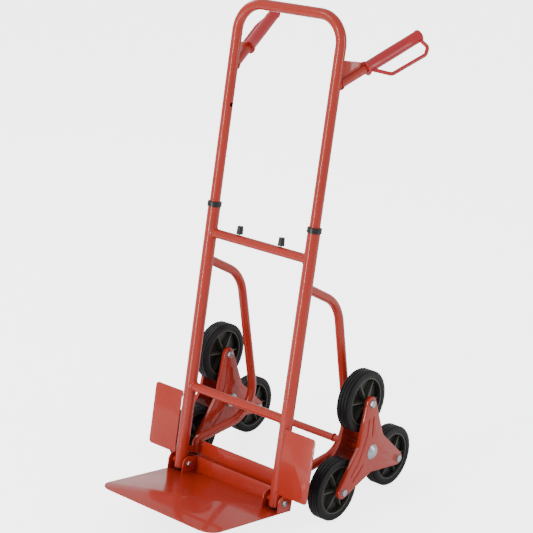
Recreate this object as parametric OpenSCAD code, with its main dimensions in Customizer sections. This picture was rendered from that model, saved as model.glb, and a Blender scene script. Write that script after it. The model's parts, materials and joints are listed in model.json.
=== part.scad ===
// Stair-climbing sack truck: a welded tube frame with a telescopic handle,
// a folding toe plate and a three-wheeled star on each end of the axle.
// Lengths are millimetres and angles are degrees.
//
// Every piece is drawn in the truck's own frame: uprights vertical, X across,
// +Y to the back, the toe plate's underside at Z = 0. stand() then leans the
// whole truck back about that origin, as it stands on its four lower wheels.

/* [Stance] */
// Lean of the uprights from the vertical
lean = 13; // [0:0.5:20]

/* [Frame] */
// Distance between the centre lines of the uprights
frame_w = 300; // [250:1:360]
// Outer diameter of the uprights
upright_d = 30; // [27:0.5:36]
// Wall of the uprights
upright_wall = 2; // [1.5:0.1:2.4]
// Height of the uprights' top ends
upright_top = 664; // [553:1:797]
// Outer diameter of the crossbars and the rear supports
bar_d = 22; // [20:0.5:26]
// Wall of the crossbars and the rear supports
bar_wall = 2; // [1.5:0.1:2.5]
// Distance of the middle crossbar below the uprights' top ends
mid_bar_drop = 69; // [50:1:85]
// Height of the lower crossbar
low_bar_z = 217; // [205:1:240]

/* [Handle] */
// Gap all round the handle tube inside an upright
handle_gap = 0.5; // [0.3:0.1:1]
// Wall of the handle tube
handle_wall = 2; // [1.5:0.1:2.5]
// Height of the handle's top bar above the grip arms
handle_rise = 154; // [125:1:200]
// Bend radius of the handle on its centre line
handle_bend = 65; // [50:1:90]
// Length that the handle slides down
handle_travel = 305; // [250:1:360]

/* [Grips] */
// Height at which the arms leave the handle, above the collars when the handle is down
arm_stop = 7; // [6:0.5:30]
// Outer diameter of the grip arms
arm_d = 20; // [18:0.5:22]
// Turn of the arms outward
arm_splay = 17; // [5:1:25]
// Rise of the arms
arm_rise = 32; // [25:1:40]
// Distance from the handle's centre line to the front of a grip
grip_start = 89; // [80:1:110]
// Length of a grip
grip_l = 164; // [140:1:190]
// Outer diameter of a grip
grip_d = 28; // [26:0.5:34]
// Reach of the knuckle guard from the grip's centre line
guard_reach = 50; // [44:1:60]
// Thickness of the knuckle guard
guard_d = 9; // [6:0.5:12]
// Turn of the knuckle guard outward from straight down
guard_turn = 54; // [30:1:70]

/* [Latches] */
// Diameter of a latch pin
pin_d = 10; // [8:0.5:12]
// Stroke of a latch pin
pin_stroke = 9; // [7:0.5:10]
// Distance of a knob from the middle of the truck
knob_x = 62.5; // [56:0.5:70]

/* [Toe plate] */
// Reach of the toe plate past its brackets, on each side
toe_side = 0; // [0:1:40]
// Reach of the toe plate in front of the uprights' centre line
toe_reach = 253; // [200:1:320]
// Thickness of the toe plate and its brackets
toe_t = 3; // [2.5:0.1:4]
// Radius of the toe plate's front corners
toe_corner = 36; // [10:1:60]
// Height of the toe plate's bent-up back edge
upstand_h = 40; // [36:0.5:43]
// Height of the toe plate's hinge above its underside
hinge_z = 25; // [25:0.5:27]
// Diameter of the hinge bolts
hinge_bolt_d = 8; // [6:0.5:8]

/* [Side plates] */
// Reach of a side plate past its upright's centre line
side_reach = 98; // [80:1:110]
// Height of a side plate
side_h = 156; // [120:1:180]
// Thickness of a side plate
side_t = 2.8; // [2:0.1:3.5]

/* [Stars] */
// Axle's distance behind the uprights' centre line
axle_y = 208; // [206:0.5:220]
// Axle's height
axle_z = 141; // [136:0.5:150]
// Diameter of the axle
axle_d = 18; // [15:0.1:22]
// Distance from the axle to each wheel bolt
star_r = 125; // [118:0.5:126]
// Gap between a rear support and its star
star_gap = 26.5; // [12:0.5:50]
// Distance between the outer faces of a star's two plates
star_w = 66; // [64:0.5:74]
// Thickness of a star plate
star_t = 2.5; // [2:0.1:3]
// Depth of a star plate's turned-in edge
star_flange = 10; // [6:0.5:11]

/* [Wheels] */
// Diameter of a wheel
wheel_d = 150; // [125:1:180]
// Width of a tyre
tyre_w = 35; // [28:0.5:36]
// Diameter at which the tyre sits on its rim
rim_d = 116; // [100:1:120]
// Diameter of a wheel bolt
wheel_bolt_d = 10; // [8:0.5:12]

/* [Hidden] */
$fn = 48;

paint = "#ba4d3e";
grip_red = "#c84b50";
black = "#26262a";
rim_grey = "#3a3a3c";
zinc = "#c9ccd0";
steel = "#8e9196";

half = frame_w / 2;
upright_r = upright_d / 2;
handle_r = upright_r - upright_wall - handle_gap;
handle_d = 2 * handle_r;
bar_r = bar_d / 2;
arm_r = arm_d / 2;
axle_r = axle_d / 2;
pin_r = pin_d / 2;
wheel_r = wheel_d / 2;
rim_r = rim_d / 2;

// Clearances
thread_past = 2;     // a bolt's end past its nut
run_fit = 0.06;      // radial, a shaft that turns in its bore
slide_fit = 0.1;     // radial, a tube that slides in a bush
hole_fit = 0.4;      // radial, a bolt or a pin in a plain hole
face_gap = 0.3;      // between two faces that pass each other
over = 1;            // a cutter's overshoot
weld_gap = 0.05;     // between two tubes that are welded side by side
bend_draw = 0.15;    // radius that a tube loses in a bend
lap = 0.4;           // length by which a bend runs into the straight before and after it

// Uprights, their collars and their foot plugs
upright_foot = 12;
mid_bar_z = upright_top - mid_bar_drop;
collar_lip = 8;
collar_skirt = 8;
collar_wall = 2;
plug_flange = 2.5;
plug_depth = 5;
plug_rim = 1;

// Telescopic handle
arm_z = upright_top + collar_lip + handle_travel + arm_stop;
handle_top = arm_z + handle_rise;
leg_below_pin = 50;
glide_l = 14;
glide_flange = 3;
glide_gap = 0.2;

// Latches: each pin rests drawn back, just clear of the handle's leg
pin_back = 0.7;
guide_back = 1.5;
pin_tip = half - upright_r + upright_wall - pin_back;
pin_tail = 46;
stem_d = 4;
knob_gap = 2.5;
knob_h = 18;
knob_low_d = 15.5;
knob_top_d = 13;
knob_ribs = 16;
rib_cut = 0.6;
guide_l = 14;
stop_l = 6;
stop_x = 14;
spring_wire = 1.2;
spring_turns = 7;

// Rear supports
support_drop = 69.6;
support_top_z = mid_bar_z - support_drop;
support_top_slope = 19.7;
support_lean = 19.8;
support_run_slope = 11.9;
support_top_bend = 100;
support_low_bend = 77;
corner_bend = 1;                // inner radius of the corner above the stub
crook_angle = 145;
stub_y = 50;
stub_foot = 40;
web_t = 4;
web_z = 44;
web_h = 14;
back_t = 3;
back_top = 74;
back_foot = 31;

// Toe plate hinge
ear_half = 22;                  // from the upright's centre line to an ear's inner face
ear_front = 19;
toe_w = 2 * (half + ear_half + toe_t + toe_side);
upstand_y = 28;
bend_r = 3;
wing_gap = 2;
hinge_sleeve_d = 14;
hinge_head_d = 14.6;
hinge_head_h = 5.4;
hinge_nut_h = 6.5;

// Side plates
side_inner = 7;
side_foot = hinge_z + ear_front + wing_gap;
side_corner = 9;
side_sink = 0.2;                // how far a plate stands clear of its upright's front

// Stars
star_tip_r = 17;
star_neck = 55;                 // from the axle to the outline between two arms
star_fillet = 12;
rib_rise = 2;
rib_w = 8;
rib_in = 29;
rib_out = 36;
rib_spread_in = 15;
rib_spread_out = 8;
hub_sleeve_wall = 4;
cap_d = 38;
cap_h = 9;
collar_ring_d = 34;
collar_ring_h = 4;
wheel_head_d = 18.5;
wheel_head_h = 5.3;
wheel_nut_h = 5.5;
spacer_d = 20;

// Wheels
hub_l = 46;
hub_d = 28;
rim_wall = 5;
rim_w = 31;
web_disc_t = 4;
spokes = 6;
spoke_root = 8;
spoke_end = 3;
spoke_in = 3;                   // a spoke's edges from the rim's edges
groove_w = 2;
groove_depth = 2.5;
grooves = 4;

// ---- helpers -------------------------------------------------------------

module stand() {
    rotate([-lean, 0, 0]) children();
}

// A solid between two points of the XY plane, round about the line
module rod(a, b, r) {
    d = b - a;
    translate([a[0], a[1], 0]) rotate([0, 0, atan2(d[1], d[0])]) rotate([0, 90, 0])
        cylinder(r = r, h = norm(d));
}

function turn_of(a, b) = let (c = a[0] * b[1] - a[1] * b[0]) atan2(c, a * b);
// Length lost to a bend on each side of its corner
function bend_cut(p, i, bends) =
    (i <= 0 || i >= len(p) - 1) ? 0
    : bends[i] * tan(abs(turn_of(p[i] - p[i - 1], p[i + 1] - p[i])) / 2);

// Length of the straight between two corners, and the turn at a corner
function leg_len(p, i, bends) = norm(p[i + 1] - p[i]) - bend_cut(p, i, bends) - bend_cut(p, i + 1, bends);
function turn_at(p, i) = turn_of(p[i] - p[i - 1], p[i + 1] - p[i]);

// A round bar bent at the corners of a flat route, each with its own radius. Each length starts
// in the frame where the last one ended.
module bent_bar(p, bends, r) {
    translate([p[0][0], p[0][1], 0]) rotate([0, 0, atan2(p[1][1] - p[0][1], p[1][0] - p[0][0])])
        bent_from(p, bends, r, 0);
}

module bent_from(p, bends, r, i) {
    length = leg_len(p, i, bends);
    rotate([0, 90, 0]) cylinder(r = r, h = length);
    if (i < len(p) - 2) {
        t = turn_at(p, i + 1);
        side = t > 0 ? 1 : -1;
        more = 2 * atan(lap / 2 / bends[i + 1]);
        translate([length, side * bends[i + 1], 0]) {
            rotate([0, 0, (side > 0 ? -90 : 90 + t) - more]) rotate_extrude(angle = abs(t) + 2 * more)
                translate([bends[i + 1], 0]) circle(r = r - bend_draw);
            rotate([0, 0, t]) translate([0, -side * bends[i + 1], 0])
                bent_from(p, bends, r, i + 1);
        }
    }
}

module bent_tube(p, bends, r, wall) {
    difference() {
        bent_bar(p, bends, r);
        bent_bar(p, bends, r - wall);
    }
}

// A tube along X between two places, at height z
module cross_tube(x0, x1, z, r, wall) {
    translate([x0, 0, z]) rotate([0, 90, 0]) difference() {
        cylinder(r = r, h = x1 - x0);
        translate([0, 0, -over]) cylinder(r = r - wall, h = x1 - x0 + 2 * over);
    }
}

// A round bar along X from x0 to x1 through (y, z)
module x_bar(x0, x1, y, z, r) {
    translate([x0, y, z]) rotate([0, 90, 0]) cylinder(r = r, h = x1 - x0);
}

module hex_bar(x0, x1, y, z, across) {
    translate([x0, y, z]) rotate([0, 90, 0]) cylinder(d = across, h = x1 - x0, $fn = 6);
}

// The space that an upright fills, for coping what is welded to it
module upright_space(side, grow = 0) {
    translate([side * half, 0, 0]) cylinder(r = upright_r + grow, h = upright_top);
}

module children_at(side) {
    if (side > 0) children();
    else mirror([1, 0, 0]) children();
}

// Rows of a plate's outline: an arc about c from angle a to angle b
function arc(c, r, a, b, n) =
    [for (i = [0 : n]) c + r * [cos(a + (b - a) * i / n), sin(a + (b - a) * i / n)]];

// ---- frame ---------------------------------------------------------------

module upright(side) {
    color(paint) stand() difference() {
        translate([side * half, 0, upright_foot]) difference() {
            cylinder(r = upright_r, h = upright_top - upright_foot);
            translate([0, 0, -over])
                cylinder(r = upright_r - upright_wall, h = upright_top - upright_foot + 2 * over);
        }
        // hole for the latch pin, on the inner side only
        translate([side * half, 0, mid_bar_z]) rotate([0, -side * 90, 0])
            cylinder(r = pin_r + hole_fit, h = upright_r + over);
        // hole across the foot for the hinge sleeve
        x_bar(side * half - upright_r - over, side * half + upright_r + over,
            0, hinge_z, hinge_sleeve_d / 2);
    }
}

module middle_crossbar() {
    color(paint) stand() difference() {
        cross_tube(-half, half, mid_bar_z, bar_r, bar_wall);
        for (side = [-1, 1]) {
            upright_space(side);
            // slot that a knob's stem runs along
            for (x = [knob_x, knob_x + pin_stroke]) translate([side * x, 0, mid_bar_z])
                cylinder(r = stem_d / 2 + hole_fit, h = bar_r + over);
            translate([side * (knob_x + pin_stroke / 2) - pin_stroke / 2, -stem_d / 2 - hole_fit, mid_bar_z])
                cube([pin_stroke, stem_d + 2 * hole_fit, bar_r + over]);
        }
    }
}

module lower_crossbar() {
    color(paint) stand() difference() {
        cross_tube(-half, half, low_bar_z, bar_r, bar_wall);
        for (side = [-1, 1]) upright_space(side);
    }
}

// The support's lower bend holds the axle in its crook, so its corners follow from the axle.
// Route in (Y, Z): the upright's back, the top bend, the crook, the corner above the stub.
crook_centre = [axle_y, axle_z]
    + (support_low_bend - bar_r - axle_r - weld_gap) * [cos(crook_angle), sin(crook_angle)];
down_dir = [sin(support_lean), -cos(support_lean)];
run_dir = [-cos(support_run_slope), -sin(support_run_slope)];
crook_turn = abs(turn_of(down_dir, run_dir));
crook_corner = crook_centre
    + support_low_bend * [cos(support_lean), sin(support_lean)]
    + support_low_bend * tan(crook_turn / 2) * down_dir;
// where the top run meets the line of the down run
top_start = [0, support_top_z + upright_r * tan(support_top_slope)];
top_dir = [cos(support_top_slope), -sin(support_top_slope)];
top_reach = ((crook_corner - top_start)[0] * down_dir[1] - (crook_corner - top_start)[1] * down_dir[0])
    / (top_dir[0] * down_dir[1] - top_dir[1] * down_dir[0]);
top_corner = top_start + top_reach * top_dir;
corner = crook_corner + run_dir * (crook_corner[0] - stub_y) / cos(support_run_slope);
support_bends = [0, support_top_bend, support_low_bend, bar_r + corner_bend, 0];

module support_bar(r, past = 0) {
    bent_bar([top_start, top_corner, crook_corner, corner, [stub_y, stub_foot - past]], support_bends, r);
}

module rear_support(side) {
    color(paint) stand() difference() {
        translate([side * half, 0, 0]) union() {
            rotate([90, 0, 90]) difference() {
                support_bar(bar_r);
                support_bar(bar_r - bar_wall, over);
            }
            // web that ties the stub to the back of the upright
            difference() {
                translate([-web_t / 2, 0, web_z]) cube([web_t, stub_y, web_h]);
                translate([0, stub_y, 0]) cylinder(r = bar_r - bar_wall / 2, h = upright_top);
            }
        }
        upright_space(side);
    }
}

module back_plate() {
    color(paint) stand() difference() {
        translate([-half, stub_y - back_t / 2, back_foot]) cube([frame_w, back_t, back_top - back_foot]);
        for (side = [-1, 1]) translate([side * half, stub_y, 0]) cylinder(r = bar_r, h = frame_w);
    }
}

module side_plate(side) {
    color(paint) stand() children_at(side) difference() {
        translate([half, -upright_r + side_t - side_sink, side_foot]) rotate([90, 0, 0])
            linear_extrude(side_t) polygon(concat([[side_inner, 0]],
                arc([side_reach - side_corner, side_corner], side_corner, -90, 0, 6),
                arc([side_reach - side_corner, side_h - side_corner], side_corner, 0, 90, 6),
                [[side_inner, side_h]]));
        upright_space(1);
    }
}

module collars() {
    color(black) stand() for (side = [-1, 1]) translate([side * half, 0, upright_top]) difference() {
        translate([0, 0, -collar_skirt])
            cylinder(r = upright_r + collar_wall, h = collar_skirt + collar_lip);
        translate([0, 0, -collar_skirt - over]) cylinder(r = upright_r, h = collar_skirt + over);
        translate([0, 0, -over]) cylinder(r = handle_r + slide_fit, h = collar_lip + 2 * over);
    }
}

module foot_plugs() {
    color(black) stand() for (side = [-1, 1]) translate([side * half, 0, upright_foot]) {
        translate([0, 0, -plug_flange]) cylinder(r = upright_r - plug_rim, h = plug_flange);
        cylinder(r = upright_r - upright_wall, h = plug_depth);
    }
}

module hinge_sleeves() {
    color(paint) stand() for (side = [-1, 1]) difference() {
        x_bar(side * half - ear_half + face_gap, side * half + ear_half - face_gap,
            0, hinge_z, hinge_sleeve_d / 2);
        x_bar(side * half - ear_half - over, side * half + ear_half + over,
            0, hinge_z, hinge_bolt_d / 2 + run_fit);
    }
}

// ---- latches -------------------------------------------------------------

module latch_guides() {
    guide_end = half - upright_r - guide_back;
    color(black) stand() for (side = [-1, 1]) children_at(side) difference() {
        x_bar(guide_end - guide_l, guide_end, 0, mid_bar_z, bar_r - bar_wall);
        x_bar(guide_end - guide_l - over, guide_end + over, 0, mid_bar_z, pin_r + run_fit);
    }
}

module spring_stops() {
    color(steel) stand() for (side = [-1, 1]) children_at(side)
        x_bar(stop_x, stop_x + stop_l, 0, mid_bar_z, bar_r - bar_wall);
}

module latch_pin(side) {
    color(zinc) stand() children_at(side) {
        x_bar(pin_tail, pin_tip, 0, mid_bar_z, pin_r);
        translate([knob_x, 0, mid_bar_z]) cylinder(r = stem_d / 2, h = bar_r + knob_gap);
    }
}

module latch_knob(side) {
    color(black) stand() children_at(side) translate([knob_x, 0, mid_bar_z + bar_r + knob_gap]) difference() {
        cylinder(d1 = knob_low_d, d2 = knob_top_d, h = knob_h);
        for (i = [0 : knob_ribs - 1]) rotate([0, 0, i * 360 / knob_ribs])
            translate([knob_low_d / 2 - rib_cut, 0, 0])
            rotate([0, -atan2(knob_low_d - knob_top_d, 2 * knob_h), 0])
            translate([0, -rib_cut, -over]) cube([over * 2, 2 * rib_cut, knob_h - 1]);
    }
}

// A coil of round wire along X from x0 to x1: rings of points about the helix, joined up
module coil(x0, x1, r, wire, turns) {
    steps = 14;
    sides = 6;
    n = turns * steps;
    pitch = (x1 - x0 - wire) / turns;
    ring = [for (i = [0 : n]) for (k = [0 : sides - 1])
        let (a = 360 * i / steps, b = 360 * k / sides, q = r + wire / 2 * cos(b))
        [x0 + wire / 2 + pitch * i / steps + wire / 2 * sin(b), q * cos(a), q * sin(a)]];
    polyhedron(ring, concat(
        [[for (k = [0 : sides - 1]) k]],
        [for (i = [0 : n - 1]) for (k = [0 : sides - 1]) let (j = (k + 1) % sides)
            [i * sides + k, (i + 1) * sides + k, (i + 1) * sides + j, i * sides + j]],
        [[for (k = [sides - 1 : -1 : 0]) n * sides + k]]));
}

module latch_spring(side) {
    color(steel) stand() children_at(side) translate([0, 0, mid_bar_z])
        coil(stop_x + stop_l, pin_tail, pin_r - spring_wire / 2, spring_wire, spring_turns);
}

// ---- handle --------------------------------------------------------------

leg_foot = mid_bar_z - leg_below_pin;

module handle_space(side) {
    translate([side * half, 0, leg_foot]) cylinder(r = handle_r, h = handle_top - leg_foot);
}

module handle_tube() {
    route = [[-half, leg_foot], [-half, handle_top], [half, handle_top], [half, leg_foot]];
    color(paint) stand() difference() {
        rotate([90, 0, 0])
            bent_tube(route, [0, handle_bend, handle_bend, 0], handle_r, handle_wall);
        // a hole in each leg for each end of the travel
        for (side = [-1, 1]) for (up = [0, handle_travel])
            translate([side * half, 0, mid_bar_z + up]) rotate([0, -side * 90, 0])
            cylinder(r = pin_r + hole_fit, h = handle_r + over);
    }
}

module handle_glides() {
    color(black) stand() for (side = [-1, 1]) translate([side * half, 0, leg_foot]) {
        translate([0, 0, -glide_flange]) cylinder(r = upright_r - upright_wall - glide_gap, h = glide_flange);
        cylinder(r = handle_r - handle_wall, h = glide_l);
    }
}

// Places its children with +Y along the right arm's centre line
module arm_frame() {
    translate([half, 0, arm_z]) rotate([0, 0, -arm_splay]) rotate([arm_rise, 0, 0]) children();
}

arm_short = 12;                 // an arm ends this far inside its grip
arm_end = grip_start + grip_l - arm_short;

module grip_arms() {
    color(paint) stand() for (side = [-1, 1]) children_at(side) difference() {
        arm_frame() rotate([-90, 0, 0]) difference() {
            cylinder(r = arm_r, h = arm_end);
            translate([0, 0, -over]) cylinder(r = arm_r - handle_wall, h = arm_end + 2 * over);
        }
        handle_space(1);
    }
}

gusset_t = 3;
gusset_reach = 64;
gusset_top = 61;
gusset_nose = 70;

module gussets() {
    arm_top = arm_r / cos(arm_rise);
    color(paint) stand() for (side = [-1, 1]) children_at(side) difference() {
        translate([half, 0, arm_z]) rotate([90, 0, 90 - arm_splay])
            translate([0, 0, -gusset_t / 2]) linear_extrude(gusset_t)
            polygon([[0, 0], [gusset_nose, gusset_nose * tan(arm_rise)],
                [gusset_nose, gusset_nose * tan(arm_rise) + arm_top], [gusset_reach, gusset_top],
                [0, gusset_top]]);
        handle_space(1);
        arm_frame() rotate([-90, 0, 0]) translate([0, 0, -handle_d]) cylinder(r = arm_r, h = arm_end);
    }
}

flange_d = 34;
grip_round = 6;
guard_sink = 3;                 // depth of the guard's roots in the grip
guard_start = 13;
guard_rise = 40;
guard_fall = 27;
guard_shoulder = 9;
guard_dip = 12;
guard_end = 6;
guard_knuckle = 0.3;            // extra width where the guard bends
flange_t = 5;

module grip(side) {
    // route of the guard in (along the grip, away from it)
    grip_end = grip_start + grip_l;
    route = [[grip_start + guard_start, grip_d / 2 - guard_sink], [grip_start + guard_rise, guard_reach - 2],
        [grip_end - guard_fall, guard_reach], [grip_end - guard_shoulder, guard_reach - guard_dip],
        [grip_end - guard_end, grip_d / 2 - guard_sink]];
    color(grip_red) stand() children_at(side) arm_frame() difference() {
        union() {
            translate([0, grip_start, 0]) rotate([-90, 0, 0]) {
                cylinder(d = flange_d, h = flange_t);
                rotate_extrude() polygon(concat([[0, 0]], [[grip_d / 2, 0]],
                    arc([grip_d / 2 - grip_round, grip_l - grip_round], grip_round, 0, 90, 5),
                    [[0, grip_l]]));
            }
            rotate([0, -guard_turn, 0]) rotate([0, 90, 0]) union() {
                for (i = [0 : len(route) - 2])
                    rod([route[i][1], route[i][0]], [route[i + 1][1], route[i + 1][0]], guard_d / 2);
                for (i = [1 : len(route) - 2])
                    translate([route[i][1], route[i][0], 0]) sphere(d = guard_d + guard_knuckle);
            }
        }
        translate([0, grip_start - over, 0]) rotate([-90, 0, 0])
            cylinder(r = arm_r + slide_fit, h = arm_end - grip_start + over + face_gap);
    }
}

// ---- toe plate -----------------------------------------------------------

module toe_plate() {
    upstand_half = half - ear_half - toe_t - face_gap;
    color(paint) stand() {
        // blade
        linear_extrude(toe_t) polygon(concat(
            arc([toe_w / 2 - toe_corner, toe_corner - toe_reach], toe_corner, -90, 0, 10),
            [[toe_w / 2, upstand_y + toe_t - bend_r], [-toe_w / 2, upstand_y + toe_t - bend_r]],
            arc([toe_corner - toe_w / 2, toe_corner - toe_reach], toe_corner, 180, 270, 10)));
        // back edge, bent up
        translate([-upstand_half, upstand_y + toe_t - bend_r, 0]) rotate([90, 0, 90])
            linear_extrude(2 * upstand_half) polygon(concat(
                [[-over, 0]], arc([0, bend_r], bend_r, -90, 0, 5),
                [[bend_r, upstand_h], [bend_r - toe_t, upstand_h], [bend_r - toe_t, toe_t], [-over, toe_t]]));
    }
}

module hinge_bracket(side) {
    ear = concat(arc([0, hinge_z], ear_front, 180, 60, 10),
        [[upstand_y + toe_t, upstand_h], [upstand_y + toe_t, toe_t], [-ear_front, toe_t]]);
    color(paint) stand() translate([side * half, 0, 0]) difference() {
        translate([-ear_half - toe_t, 0, 0]) rotate([90, 0, 90])
            linear_extrude(2 * (ear_half + toe_t)) polygon(ear);
        translate([-ear_half, -ear_front - over, -over])
            cube([2 * ear_half, upstand_y + ear_front + over, hinge_z + ear_front + 2 * over]);
        x_bar(-ear_half - toe_t - over, ear_half + toe_t + over, 0, hinge_z, hinge_bolt_d / 2);
    }
}

module hinge_bolts() {
    reach = ear_half + toe_t;
    color(zinc) stand() for (side = [-1, 1]) {
        x_bar(side * half - reach - hinge_nut_h - thread_past, side * half + reach,
            0, hinge_z, hinge_bolt_d / 2);
        hex_bar(side * half + reach, side * half + reach + hinge_head_h, 0, hinge_z, hinge_head_d);
    }
}

module hinge_nuts() {
    reach = ear_half + toe_t;
    color(zinc) stand() for (side = [-1, 1]) difference() {
        hex_bar(side * half - reach - hinge_nut_h, side * half - reach, 0, hinge_z, hinge_head_d);
        x_bar(side * half - reach - hinge_nut_h - over, side * half - reach + over,
            0, hinge_z, hinge_bolt_d / 2);
    }
}

// ---- axle and stars ------------------------------------------------------

plate_out = star_w / 2;                       // from the wheels' middle plane
hub_reach = plate_out + rib_rise;
star_x = half + bar_r + star_gap + hub_reach;
axle_past = 4;
axle_end = star_x + hub_reach + axle_past;

module axle() {
    color(paint) stand() x_bar(-axle_end, axle_end, axle_y, axle_z, axle_r);
}

// Domed push-on caps, over the ends of the axle
module axle_caps() {
    dome = (cap_d * cap_d / 4 + cap_h * cap_h) / (2 * cap_h);
    spread = asin(cap_d / 2 / dome);
    face = star_x + hub_reach + face_gap;
    color(zinc) stand() for (side = [-1, 1]) children_at(side)
        translate([face, axle_y, axle_z]) rotate([0, 90, 0]) difference() {
            rotate_extrude() polygon(concat([[0, 0]], arc([0, cap_h - dome], dome, 90 - spread, 90, 8)));
            translate([0, 0, -over]) cylinder(r = axle_r, h = axle_end - face + over);
        }
}

// Rings on the axle between each support and its star
module axle_collars() {
    face = star_x - hub_reach - face_gap;
    color(zinc) stand() for (side = [-1, 1]) children_at(side) difference() {
        x_bar(face - collar_ring_h, face, axle_y, axle_z, collar_ring_d / 2);
        x_bar(face - collar_ring_h - over, face + over, axle_y, axle_z, axle_r);
    }
}

// Three arms with round tips and straight edges, rounded where two arms meet. A positive inset
// draws the same outline further in, for the inside of the turned-in edge.
function star_edge(tip, fillet, neck) =
    let (d = (neck + fillet) * [cos(60), sin(60)] - [star_r, 0])
    atan2(d[1], d[0]) - acos((tip + fillet) / norm(d));
function star_outline(inset) =
    let (tip = star_tip_r - inset, fillet = star_fillet + inset, neck = star_neck - inset)
    let (a = star_edge(tip, fillet, neck))
    [for (k = [0 : 2]) let (c = 90 + 120 * k) each concat(
        arc(star_r * [cos(c), sin(c)], tip, c - a, c + a, 14),
        arc((neck + fillet) * [cos(c + 60), sin(c + 60)], fillet, c + a + 180, c + 300 - a, 4))];

// Wheels 0, 1 and 2 sit at the top, the lower front and the lower rear. The children are drawn
// about the star's own axis and the star stands with two wheels down, so it turns with the lean.
module star_frame(side) {
    children_at(side) translate([star_x, axle_y, axle_z]) rotate([lean, 0, 0]) rotate([90, 0, 90])
        children();
}

function wheel_at(k) = star_r * [cos(90 + 120 * k), sin(90 + 120 * k)];

// A pressed plate: flat face, turned-in edge and two ridges along each arm. +Z is its outer side.
module star_plate(side, out) {
    color(paint) stand() star_frame(side) mirror([0, 0, out > 0 ? 0 : 1])
        translate([0, 0, plate_out - star_t]) difference() {
            union() {
                linear_extrude(star_t) polygon(star_outline(0));
                translate([0, 0, star_t - star_flange]) linear_extrude(star_flange) difference() {
                    polygon(star_outline(0));
                    polygon(star_outline(star_t));
                }
                for (k = [0 : 2]) for (flip = [0, 1]) rotate([0, 0, 120 * k]) mirror([flip, 0, 0])
                    linear_extrude(star_t + rib_rise) polygon([
                        [rib_spread_in - rib_w / 2, rib_in], [rib_spread_in + rib_w / 2, rib_in],
                        [rib_spread_out + rib_w / 2, star_r - rib_out],
                        [rib_spread_out - rib_w / 2, star_r - rib_out]]);
            }
            for (k = [0 : 2]) translate([wheel_at(k)[0], wheel_at(k)[1], -over])
                cylinder(r = wheel_bolt_d / 2, h = star_t + 2 * over);
            translate([0, 0, -over])
                cylinder(r = axle_r + run_fit + hub_sleeve_wall, h = star_t + 2 * over);
        }
}

module star_hub(side) {
    color(paint) stand() star_frame(side) translate([0, 0, -hub_reach]) difference() {
        cylinder(r = axle_r + run_fit + hub_sleeve_wall, h = 2 * hub_reach);
        translate([0, 0, -over]) cylinder(r = axle_r + run_fit, h = 2 * hub_reach + 2 * over);
    }
}

module star_bolts(side) {
    color(zinc) stand() star_frame(side) for (k = [0 : 2]) translate([wheel_at(k)[0], wheel_at(k)[1], 0]) {
        translate([0, 0, -plate_out - wheel_nut_h - thread_past])
            cylinder(d = wheel_bolt_d, h = 2 * plate_out + wheel_nut_h + thread_past);
        translate([0, 0, plate_out]) cylinder(d = wheel_head_d, h = wheel_head_h, $fn = 6);
    }
}

module star_nuts(side) {
    color(zinc) stand() star_frame(side) for (k = [0 : 2])
        translate([wheel_at(k)[0], wheel_at(k)[1], -plate_out - wheel_nut_h]) difference() {
            cylinder(d = wheel_head_d, h = wheel_nut_h, $fn = 6);
            translate([0, 0, -over]) cylinder(d = wheel_bolt_d, h = wheel_nut_h + 2 * over);
        }
}

module star_spacers(side) {
    spacer_l = plate_out - star_t - hub_l / 2 - face_gap;
    color(black) stand() star_frame(side) for (k = [0 : 2]) for (end = [0, 1]) mirror([0, 0, end])
        translate([wheel_at(k)[0], wheel_at(k)[1], hub_l / 2 + face_gap]) difference() {
            cylinder(d = spacer_d, h = spacer_l);
            translate([0, 0, -over]) cylinder(d = wheel_bolt_d, h = spacer_l + 2 * over);
        }
}

// ---- wheels --------------------------------------------------------------

module wheel_frame(side, k) {
    star_frame(side) translate([wheel_at(k)[0], wheel_at(k)[1], 0]) children();
}

// The tyre's section, from its seat out to the crown and back, with grooves round the tread
module tyre(side, k) {
    w = tyre_w / 2;
    shoulder = wheel_r - 6;
    tread_w = tyre_w - 11;
    pitch = tread_w / (grooves - 1);
    color(black) stand() wheel_frame(side, k) rotate_extrude() polygon(concat(
        [[rim_r, -rim_w / 2], [rim_r + 4, -w + 0.5], [shoulder - 2, -w],
            [shoulder + 3.5, -w + 1.2], [wheel_r - 0.6, -w + 3]],
        [for (i = [0 : grooves - 1]) each let (z = i * pitch - tread_w / 2) [
            [wheel_r, z - groove_w / 2], [wheel_r - groove_depth, z - groove_w / 4],
            [wheel_r - groove_depth, z + groove_w / 4], [wheel_r, z + groove_w / 2]]],
        [[wheel_r - 0.6, w - 3], [shoulder + 3.5, w - 1.2], [shoulder - 2, w],
            [rim_r + 4, w - 0.5], [rim_r, rim_w / 2]]));
}

module rim(side, k) {
    color(rim_grey) stand() wheel_frame(side, k) difference() {
        union() {
            translate([0, 0, -rim_w / 2]) difference() {
                cylinder(r = rim_r, h = rim_w);
                translate([0, 0, -over]) cylinder(r = rim_r - rim_wall, h = rim_w + 2 * over);
            }
            translate([0, 0, -web_disc_t / 2]) cylinder(r = rim_r - rim_wall / 2, h = web_disc_t);
            translate([0, 0, -hub_l / 2]) cylinder(d = hub_d, h = hub_l);
            for (i = [0 : spokes - 1]) rotate([0, 0, i * 360 / spokes])
                translate([0, 0, -rim_w / 2 + spoke_in]) linear_extrude(rim_w - 2 * spoke_in)
                polygon([[hub_d / 4, -spoke_root / 2], [rim_r - rim_wall / 2, -spoke_end / 2],
                    [rim_r - rim_wall / 2, spoke_end / 2], [hub_d / 4, spoke_root / 2]]);
        }
        translate([0, 0, -hub_l]) cylinder(r = wheel_bolt_d / 2 + run_fit, h = 2 * hub_l);
    }
}

// ---- nodes ---------------------------------------------------------------

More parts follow.
